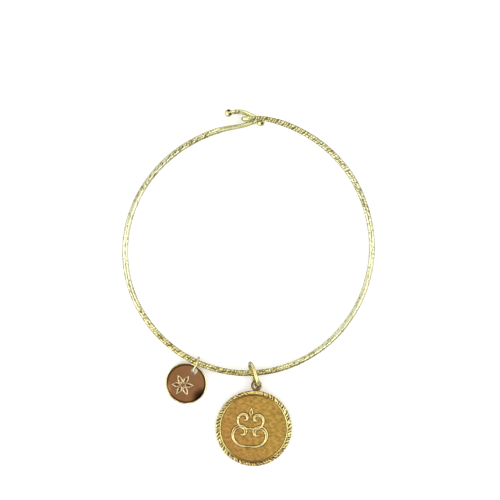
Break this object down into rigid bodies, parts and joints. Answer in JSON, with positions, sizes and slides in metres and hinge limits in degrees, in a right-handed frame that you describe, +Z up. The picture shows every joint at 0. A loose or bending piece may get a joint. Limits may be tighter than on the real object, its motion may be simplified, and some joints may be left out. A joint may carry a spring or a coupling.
{
  "type": "charm bangle",
  "caption": "Thin textured wire bangle with a hook clasp, lying flat, carrying a large rimmed disc charm and a small polished disc charm on jump rings.",
  "frame": {"origin": "centre of the wire ring, in the plane of the table it lies on", "axes": "+Z up out of the table, through the wrist opening; +Y from the centre to the hook clasp; the charms lie towards -Y"},
  "size_m": [0.065, 0.0919, 0.0073],
  "materials": {
    "textured_gold": "hammered, satin to bright",
    "polished_gold": "polished",
    "matte_gold": "finely brushed field with a bright hammered rim",
    "mirror_gold": "mirror polished"
  },
  "bodies": {
    "root": {"bangle_wire": "textured_gold", "large_disc": "matte_gold", "large_jump_ring": "polished_gold", "small_disc": "mirror_gold", "small_jump_ring": "polished_gold"}
  },
  "joints": []
}
